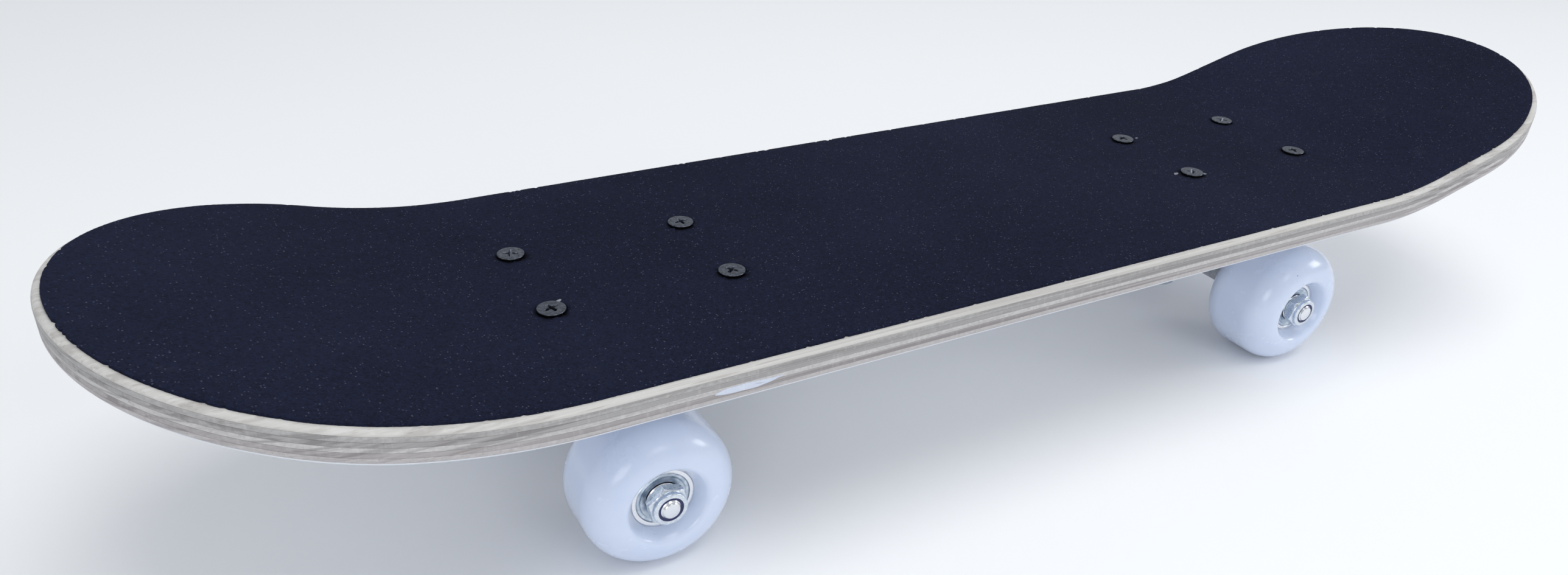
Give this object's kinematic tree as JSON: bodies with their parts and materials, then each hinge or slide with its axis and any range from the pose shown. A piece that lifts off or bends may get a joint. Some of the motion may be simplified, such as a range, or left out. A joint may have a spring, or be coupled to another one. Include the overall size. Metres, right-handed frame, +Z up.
{
  "type": "skateboard",
  "caption": "Short skateboard with a pressed plywood deck, grip tape, steering trucks on sprung bushings, and white wheels on ball bearings.",
  "frame": {"origin": "middle of the bounding box at ground level, under the wheels", "axes": "+X along the deck from tail to nose, +Y to the rider's left, +Z up"},
  "size_m": [0.6238, 0.15, 0.1138],
  "materials": {
    "ply": "satin",
    "grip": "gritty",
    "black_steel": "semi-gloss",
    "zinc_steel": "zinc plated",
    "nylon_blue": "satin",
    "nylon_black": "satin",
    "truck_alloy": "cast",
    "bushing": "satin",
    "wheel": "gloss",
    "bearing_steel": "ground",
    "shield_zinc": "zinc plated",
    "cage_steel": "pressed"
  },
  "bodies": {
    "deck": {"deck_ply_1": "ply", "deck_ply_2": "ply", "deck_ply_3": "ply", "deck_ply_4": "ply", "deck_ply_5": "ply", "deck_ply_6": "ply", "deck_ply_7": "ply", "grip_tape": "grip", "mounting_screws": "black_steel", "mounting_nuts": "zinc_steel", "mounting_nut_inserts": "nylon_blue", "kingpin_nut_inserts": "nylon_blue", "rear_baseplate": "truck_alloy", "rear_pivot_cup": "nylon_black", "rear_kingpin": "zinc_steel", "rear_kingpin_nut": "zinc_steel", "rear_upper_bushing": "bushing", "rear_lower_bushing": "bushing", "rear_cup_washers": "zinc_steel", "front_baseplate": "truck_alloy", "front_pivot_cup": "nylon_black", "front_kingpin": "zinc_steel", "front_kingpin_nut": "zinc_steel", "front_upper_bushing": "bushing", "front_lower_bushing": "bushing", "front_cup_washers": "zinc_steel"},
    "rear_truck": {"rear_hanger": "truck_alloy", "rear_axle": "zinc_steel", "rear_speed_washers": "zinc_steel", "rear_axle_nuts": "zinc_steel", "rear_axle_nut_inserts": "nylon_blue", "rear_bearing_inner_rings": "bearing_steel", "rear_bearing_spacers": "bearing_steel"},
    "front_truck": {"front_hanger": "truck_alloy", "front_axle": "zinc_steel", "front_speed_washers": "zinc_steel", "front_axle_nuts": "zinc_steel", "front_axle_nut_inserts": "nylon_blue", "front_bearing_inner_rings": "bearing_steel", "front_bearing_spacers": "bearing_steel"},
    "rear_left_wheel": {"rear_left_wheel": "wheel", "rear_left_bearing_outer_rings": "bearing_steel", "rear_left_bearing_shields": "shield_zinc"},
    "rear_left_ball_set": {"rear_left_bearing_balls": "bearing_steel", "rear_left_bearing_cages": "cage_steel"},
    "rear_right_wheel": {"rear_right_wheel": "wheel", "rear_right_bearing_outer_rings": "bearing_steel", "rear_right_bearing_shields": "shield_zinc"},
    "rear_right_ball_set": {"rear_right_bearing_balls": "bearing_steel", "rear_right_bearing_cages": "cage_steel"},
    "front_left_wheel": {"front_left_wheel": "wheel", "front_left_bearing_outer_rings": "bearing_steel", "front_left_bearing_shields": "shield_zinc"},
    "front_left_ball_set": {"front_left_bearing_balls": "bearing_steel", "front_left_bearing_cages": "cage_steel"},
    "front_right_wheel": {"front_right_wheel": "wheel", "front_right_bearing_outer_rings": "bearing_steel", "front_right_bearing_shields": "shield_zinc"},
    "front_right_ball_set": {"front_right_bearing_balls": "bearing_steel", "front_right_bearing_cages": "cage_steel"}
  },
  "joints": [
    {"name": "rear_steer", "type": "hinge", "parent": "deck", "child": "rear_truck", "pos_m": [-0.17956, 0, 0.0595], "axis": [-0.8988, 0, 0.4384], "range_deg": [-12, 12], "stiffness_Nm_per_rad": 30, "deforming": ["rear_upper_bushing", "rear_lower_bushing"]},
    {"name": "front_steer", "type": "hinge", "parent": "deck", "child": "front_truck", "pos_m": [0.17044, 0, 0.0595], "axis": [0.8988, 0, 0.4384], "range_deg": [-12, 12], "stiffness_Nm_per_rad": 30, "deforming": ["front_upper_bushing", "front_lower_bushing"]},
    {"name": "rear_left_spin", "type": "hinge", "parent": "rear_truck", "child": "rear_left_wheel", "pos_m": [-0.15556, 0.045, 0.0265], "axis": [0, 1, 0], "continuous": true},
    {"name": "rear_left_ball_orbit", "type": "hinge", "parent": "rear_truck", "child": "rear_left_ball_set", "pos_m": [-0.15556, 0.045, 0.0265], "axis": [0, 1, 0], "continuous": true},
    {"name": "rear_right_spin", "type": "hinge", "parent": "rear_truck", "child": "rear_right_wheel", "pos_m": [-0.15556, -0.045, 0.0265], "axis": [0, 1, 0], "continuous": true},
    {"name": "rear_right_ball_orbit", "type": "hinge", "parent": "rear_truck", "child": "rear_right_ball_set", "pos_m": [-0.15556, -0.045, 0.0265], "axis": [0, 1, 0], "continuous": true},
    {"name": "front_left_spin", "type": "hinge", "parent": "front_truck", "child": "front_left_wheel", "pos_m": [0.14644, 0.045, 0.0265], "axis": [0, 1, 0], "continuous": true},
    {"name": "front_left_ball_orbit", "type": "hinge", "parent": "front_truck", "child": "front_left_ball_set", "pos_m": [0.14644, 0.045, 0.0265], "axis": [0, 1, 0], "continuous": true},
    {"name": "front_right_spin", "type": "hinge", "parent": "front_truck", "child": "front_right_wheel", "pos_m": [0.14644, -0.045, 0.0265], "axis": [0, 1, 0], "continuous": true},
    {"name": "front_right_ball_orbit", "type": "hinge", "parent": "front_truck", "child": "front_right_ball_set", "pos_m": [0.14644, -0.045, 0.0265], "axis": [0, 1, 0], "continuous": true}
  ],
  "couplings": [
    {"joint": "rear_left_ball_orbit", "follows": "rear_left_spin", "ratio": 0.6369},
    {"joint": "rear_right_ball_orbit", "follows": "rear_right_spin", "ratio": 0.6369},
    {"joint": "front_left_ball_orbit", "follows": "front_left_spin", "ratio": 0.6369},
    {"joint": "front_right_ball_orbit", "follows": "front_right_spin", "ratio": 0.6369}
  ]
}
